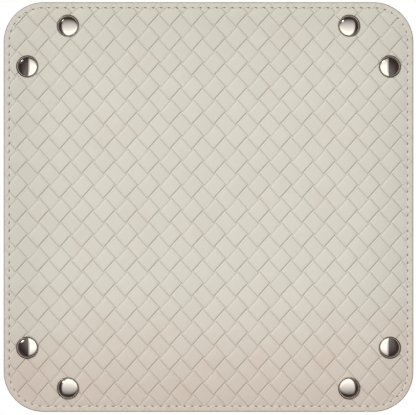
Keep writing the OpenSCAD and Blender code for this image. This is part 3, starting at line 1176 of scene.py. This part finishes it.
bpy.ops.object.camera_add()
camera = bpy.context.active_object
camera.name = "camera"
camera.data.lens = studio["lens"]
camera.data.sensor_width = 36
distance = studio["width"] * studio["lens"] / 36
camera.location = (studio["offset"], -studio["offset"], sheet["outerFace"] - distance)
camera.rotation_euler = (0, math.pi, 0)
camera.data.clip_start = 0.01
camera.data.clip_end = 50
bpy.context.scene.camera = camera


def sunLamp(name, strength, direction, angle):
    bpy.ops.object.light_add(type="SUN")
    lamp = bpy.context.active_object
    lamp.name = name
    lamp.data.energy = strength
    lamp.data.angle = math.radians(angle)
    lamp.rotation_euler = Vector(direction).to_track_quat("-Z", "Y").to_euler()
    return lamp


sunLamp("keyBelow", studio["keyStrength"], studio["keyDirection"], 12)
sunLamp("keyAbove", studio["topStrength"], studio["topDirection"], 14)

world = bpy.data.worlds.new("studio")
bpy.context.scene.world = world
world.use_nodes = True
tree = world.node_tree
tree.nodes.clear()
path = addNode(tree, "ShaderNodeLightPath")
seen = mathNode(tree, "MAXIMUM", path.outputs["Is Camera Ray"], path.outputs["Is Transmission Ray"])
seen = mathNode(tree, "MAXIMUM", seen, path.outputs["Is Glossy Ray"])
plain = addNode(tree, "ShaderNodeBackground")
plain.inputs["Color"].default_value = (1.0, 0.985, 0.96, 1)
plain.inputs["Strength"].default_value = studio["worldLight"]
white = addNode(tree, "ShaderNodeBackground")
white.inputs["Color"].default_value = (1, 1, 1, 1)
choose = addNode(tree, "ShaderNodeMixShader")
out = addNode(tree, "ShaderNodeOutputWorld")
tree.links.new(seen, choose.inputs[0])
tree.links.new(plain.outputs[0], choose.inputs[1])
tree.links.new(white.outputs[0], choose.inputs[2])
tree.links.new(choose.outputs[0], out.inputs["Surface"])

bpy.ops.mesh.primitive_plane_add(size=6, location=(0, 0, 0))
floor = newPiece("floor")
material, tree, shader = newMaterial("paper floor")
shader.inputs["Base Color"].default_value = (0.9, 0.9, 0.9, 1)
shader.inputs["Roughness"].default_value = 0.9
clear = addNode(tree, "ShaderNodeBsdfTransparent")
through = addNode(tree, "ShaderNodeMixShader")
tree.links.new(addNode(tree, "ShaderNodeNewGeometry").outputs["Backfacing"], through.inputs[0])
tree.links.new(shader.outputs[0], through.inputs[1])
tree.links.new(clear.outputs[0], through.inputs[2])
tree.links.new(through.outputs[0], tree.nodes["Material Output"].inputs["Surface"])
floor.data.materials.append(material)
for setting in ("visible_diffuse", "visible_glossy", "visible_transmission", "visible_shadow"):
    setattr(floor, setting, False)

# what the polished caps mirror: a bright window with soft ends, in a dark room with a brown ring
mirrored = {
    "height": -0.028,
    "windowSide": (0.102, 0.095),   # the window fades out from the second to the first, across
    "windowEnd": (0.126, 0.080),    # and up
    "room": 3.0,
    "windowGlow": (1.7, 1.66, 1.58, 1),
    "rings": ((0.0, (0.40, 0.37, 0.33)), (0.128, (0.20, 0.175, 0.170)), (0.140, (0.10, 0.082, 0.085)),
              (0.152, (0.045, 0.036, 0.040)), (0.165, (0.05, 0.038, 0.036)), (0.190, (0.20, 0.13, 0.085)),
              (0.23, (0.10, 0.07, 0.05)), (0.6, (0.30, 0.25, 0.20))),
}


def glowCard(name, size, height):
    bpy.ops.mesh.primitive_plane_add(size=size, location=(0, 0, height))
    card = newPiece(name)
    material, tree, shader = newMaterial(name)
    glow = addNode(tree, "ShaderNodeEmission")
    tree.links.new(glow.outputs[0], tree.nodes["Material Output"].inputs["Surface"])
    card.data.materials.append(material)
    for setting in ("visible_camera", "visible_diffuse", "visible_transmission", "visible_shadow"):
        setattr(card, setting, False)
    return tree, glow


tree, glow = glowCard("roomCard", mirrored["room"], mirrored["height"])
place = addNode(tree, "ShaderNodeNewGeometry").outputs["Position"]
length = addNode(tree, "ShaderNodeVectorMath", operation="LENGTH")
tree.links.new(place, length.inputs[0])
wobble = mathNode(tree, "MULTIPLY", mathNode(tree, "SUBTRACT", noise(tree, place, 14, 2), 0.5), 0.03)
away = mathNode(tree, "ADD", length.outputs["Value"], wobble)
ramp = addNode(tree, "ShaderNodeValToRGB")
stops = ramp.color_ramp.elements
while len(stops) < len(mirrored["rings"]):
    stops.new(0.5)
for stop, (reach, shade) in zip(stops, mirrored["rings"]):
    stop.position = reach
    stop.color = (*shade, 1)
tree.links.new(away, ramp.inputs[0])
parts = addNode(tree, "ShaderNodeSeparateXYZ")
tree.links.new(place, parts.inputs[0])
fades = []
for axis, fade in (("X", mirrored["windowSide"]), ("Y", mirrored["windowEnd"])):
    fades.append(rampTo(tree, mathNode(tree, "ABSOLUTE", parts.outputs[axis]), *fade))
inside = mathNode(tree, "MULTIPLY", *fades)
tree.links.new(mixColour(tree, inside, ramp.outputs[0], mirrored["windowGlow"]), glow.inputs["Color"])

scene = bpy.context.scene
scene.view_settings.view_transform = "Standard"
print("scene: ready")
